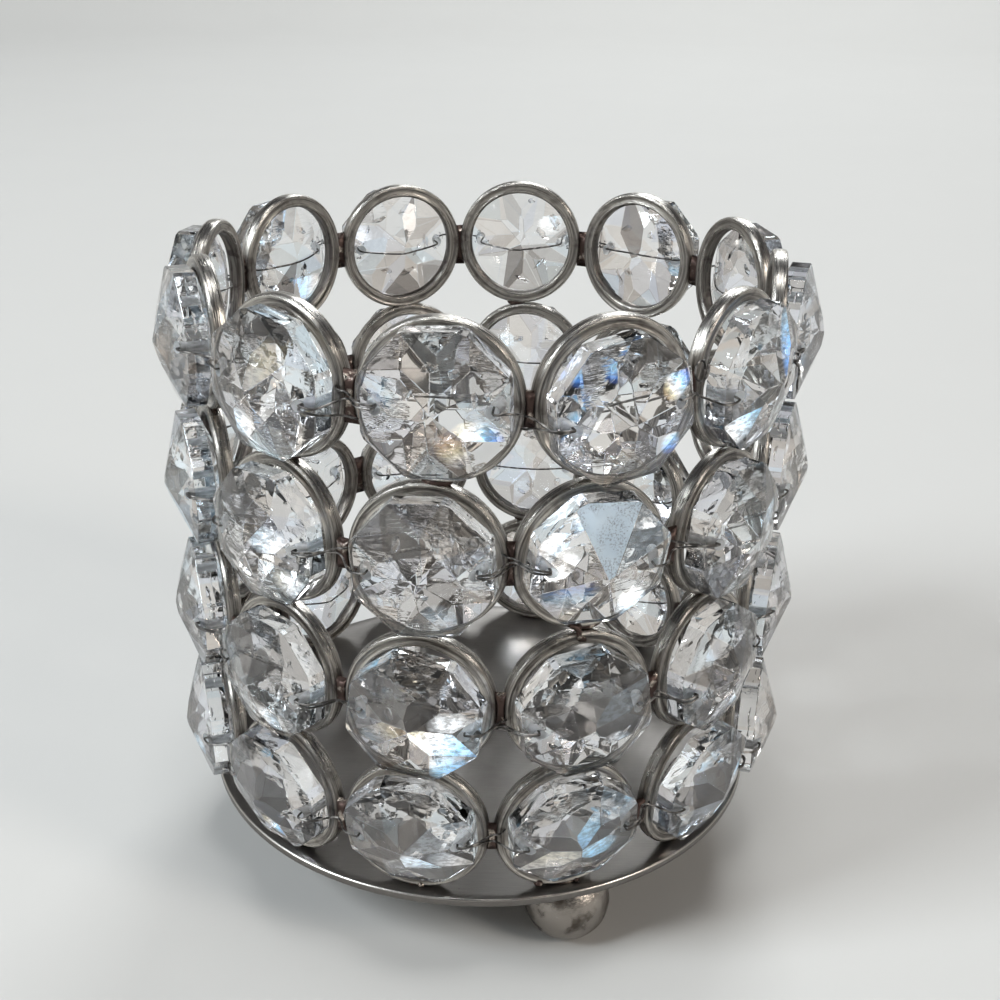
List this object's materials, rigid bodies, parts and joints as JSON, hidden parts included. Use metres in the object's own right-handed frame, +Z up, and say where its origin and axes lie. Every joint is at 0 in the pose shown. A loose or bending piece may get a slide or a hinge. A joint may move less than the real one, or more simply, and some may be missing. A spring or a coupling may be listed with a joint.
{
  "type": "crystal bead candle holder",
  "caption": "Cylindrical votive candle holder: a lattice wall of soldered wire rings, each with a wired-on cut glass bead, on a round sheet plate with ball feet.",
  "frame": {"origin": "middle of the circle of feet, on the surface that the holder stands on", "axes": "+Z up through the open top, -Y to the front, +X to the right seen from the front"},
  "size_m": [0.0742, 0.0742, 0.074],
  "materials": {
    "bead_glass": "clear polished glass with cut facets",
    "ring_wire": "drawn nickel-plated wire, tarnished in the hollows",
    "solder": "uneven solder, part bright and part browned",
    "tie_wire": "thin dark bright-edged wire",
    "base_plate": "satin sheet with a bright rim",
    "ball_foot": "shiny, lightly dented"
  },
  "bodies": {
    "root": {"base_plate": "base_plate", "ring_row_1": "ring_wire", "ring_row_2": "ring_wire", "ring_row_3": "ring_wire", "ring_row_4": "ring_wire", "bead_row1_col01": "bead_glass", "bead_row1_col02": "bead_glass", "bead_row1_col03": "bead_glass", "bead_row1_col04": "bead_glass", "bead_row1_col05": "bead_glass", "bead_row1_col06": "bead_glass", "bead_row1_col07": "bead_glass", "bead_row1_col08": "bead_glass", "bead_row1_col09": "bead_glass", "bead_row1_col10": "bead_glass", "bead_row1_col11": "bead_glass", "bead_row1_col12": "bead_glass", "bead_row2_col01": "bead_glass", "bead_row2_col02": "bead_glass", "bead_row2_col03": "bead_glass", "bead_row2_col04": "bead_glass", "bead_row2_col05": "bead_glass", "bead_row2_col06": "bead_glass", "bead_row2_col07": "bead_glass", "bead_row2_col08": "bead_glass", "bead_row2_col09": "bead_glass", "bead_row2_col10": "bead_glass", "bead_row2_col11": "bead_glass", "bead_row2_col12": "bead_glass", "bead_row3_col01": "bead_glass", "bead_row3_col02": "bead_glass", "bead_row3_col03": "bead_glass", "bead_row3_col04": "bead_glass", "bead_row3_col05": "bead_glass", "bead_row3_col06": "bead_glass", "bead_row3_col07": "bead_glass", "bead_row3_col08": "bead_glass", "bead_row3_col09": "bead_glass", "bead_row3_col10": "bead_glass", "bead_row3_col11": "bead_glass", "bead_row3_col12": "bead_glass", "bead_row4_col01": "bead_glass", "bead_row4_col02": "bead_glass", "bead_row4_col03": "bead_glass", "bead_row4_col04": "bead_glass", "bead_row4_col05": "bead_glass", "bead_row4_col06": "bead_glass", "bead_row4_col07": "bead_glass", "bead_row4_col08": "bead_glass", "bead_row4_col09": "bead_glass", "bead_row4_col10": "bead_glass", "bead_row4_col11": "bead_glass", "bead_row4_col12": "bead_glass", "solder_joints": "solder", "tie_wires": "tie_wire", "foot_front": "ball_foot", "foot_rear_right": "ball_foot", "foot_rear_left": "ball_foot"}
  },
  "joints": []
}
